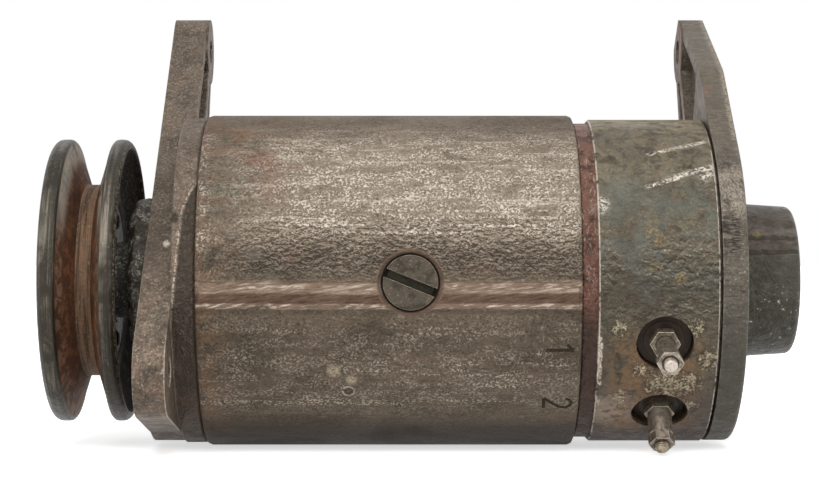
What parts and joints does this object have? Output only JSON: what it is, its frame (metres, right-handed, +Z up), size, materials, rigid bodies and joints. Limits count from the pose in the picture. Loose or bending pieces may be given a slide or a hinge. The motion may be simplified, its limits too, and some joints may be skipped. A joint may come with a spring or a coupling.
{
  "type": "electric generator",
  "caption": "Belt-driven direct-current generator: steel yoke, V-belt pulley, cast end brackets with pivot ears and a belt tension ear, stud terminals and an armature.",
  "frame": {"origin": "centre of the pivot bore in the drive end ear, halfway along the bore", "axes": "+X along the shaft from the pulley to the closed rear boss, +Y to the back, away from the terminals, +Z up; the shaft axis lies 57 mm in front of the pivot axis and 78 mm below it"},
  "size_m": [0.2375, 0.135, 0.1415],
  "materials": {
    "yoke_steel": "worn, oxidised rolled steel",
    "screw_steel": "dark oxidised steel",
    "pole_steel": "plain machined steel",
    "coil_tape": "varnished cotton tape",
    "bracket_casting": "weathered, greasy casting",
    "housing_casting": "corroded casting",
    "pulley_steel": "worn and rusted pressed steel",
    "bright_steel": "ground steel",
    "cage_brass": "satin",
    "copper": "copper, varnished on the windings",
    "moulding": "dark brown phenolic moulding",
    "felt": "greased felt",
    "carbon": "matte carbon",
    "terminal_brass": "tarnished brass",
    "terminal_steel": "worn plated steel"
  },
  "bodies": {
    "frame": {"yoke": "yoke_steel", "pole_screw_front": "screw_steel", "pole_screw_rear": "screw_steel", "pole_shoe_front": "pole_steel", "pole_shoe_rear": "pole_steel", "field_coil_front": "coil_tape", "field_coil_rear": "coil_tape", "drive_end_bracket": "bracket_casting", "bearing_retainer": "bright_steel", "retainer_screws": "bright_steel", "felt_ring": "felt", "drive_bearing_outer_race": "bright_steel", "commutator_housing": "housing_casting", "commutator_end_bracket": "bracket_casting", "rear_bearing_outer_race": "bright_steel", "through_bolts": "screw_steel", "through_bolt_washers": "screw_steel", "positive_brush_holder": "cage_brass", "negative_brush_holder": "cage_brass", "holder_insulating_plate": "moulding", "holder_screws": "bright_steel", "brush_arm_pins": "bright_steel", "brush_springs": "bright_steel", "armature_terminal_stud": "terminal_brass", "field_terminal_stud": "terminal_brass", "terminal_bushes": "moulding", "terminal_inner_washers": "moulding", "terminal_inner_nuts": "terminal_brass", "terminal_base_nuts": "terminal_brass", "terminal_collars": "terminal_steel", "terminal_outer_nuts": "terminal_steel"},
    "armature": {"shaft": "bright_steel", "armature_core": "pole_steel", "armature_winding": "copper", "commutator_bars": "copper", "commutator_hub": "moulding", "shaft_collar": "bright_steel", "drive_bearing_inner_race": "bright_steel", "rear_bearing_inner_race": "bright_steel", "pulley_hub": "pulley_steel", "pulley_outer_half": "pulley_steel", "pulley_inner_half": "pulley_steel", "pulley_rivets": "pulley_steel", "pulley_key": "bright_steel", "pulley_spring_washer": "screw_steel", "pulley_nut": "screw_steel"},
    "drive_ball_set": {"drive_bearing_balls": "bright_steel", "drive_bearing_cage": "cage_brass"},
    "rear_ball_set": {"rear_bearing_balls": "bright_steel", "rear_bearing_cage": "cage_brass"},
    "positive_arm": {"positive_brush_arm": "bright_steel"},
    "negative_arm": {"negative_brush_arm": "bright_steel"},
    "positive_brush": {"positive_brush": "carbon"},
    "negative_brush": {"negative_brush": "carbon"}
  },
  "joints": [
    {"name": "armature_spin", "type": "hinge", "parent": "frame", "child": "armature", "pos_m": [0, -0.057, -0.078], "axis": [1, 0, 0], "continuous": true},
    {"name": "drive_cage_spin", "type": "hinge", "parent": "frame", "child": "drive_ball_set", "pos_m": [0, -0.057, -0.078], "axis": [1, 0, 0], "continuous": true},
    {"name": "rear_cage_spin", "type": "hinge", "parent": "frame", "child": "rear_ball_set", "pos_m": [0, -0.057, -0.078], "axis": [1, 0, 0], "continuous": true},
    {"name": "positive_arm_lift", "type": "hinge", "parent": "frame", "child": "positive_arm", "pos_m": [0.1406, -0.08741, -0.06598], "axis": [1, 0, 0], "range_deg": [0, 24], "stiffness_Nm_per_rad": 0.1, "springref_deg": -37.24},
    {"name": "positive_brush_slide", "type": "slide", "parent": "frame", "child": "positive_brush", "axis": [0, -0.7071, 0.7071], "range_m": [0, 0.0045]},
    {"name": "negative_arm_lift", "type": "hinge", "parent": "frame", "child": "negative_arm", "pos_m": [0.1406, -0.02659, -0.09002], "axis": [1, 0, 0], "range_deg": [0, 24], "stiffness_Nm_per_rad": 0.1, "springref_deg": -37.24},
    {"name": "negative_brush_slide", "type": "slide", "parent": "frame", "child": "negative_brush", "axis": [0, 0.7071, -0.7071], "range_m": [0, 0.0045]}
  ],
  "couplings": [
    {"joint": "drive_cage_spin", "follows": "armature_spin", "ratio": 0.3818},
    {"joint": "rear_cage_spin", "follows": "armature_spin", "ratio": 0.3808},
    {"joint": "positive_arm_lift", "follows": "positive_brush_slide", "rad_per_m": 93.08},
    {"joint": "negative_arm_lift", "follows": "negative_brush_slide", "rad_per_m": 93.08}
  ]
}
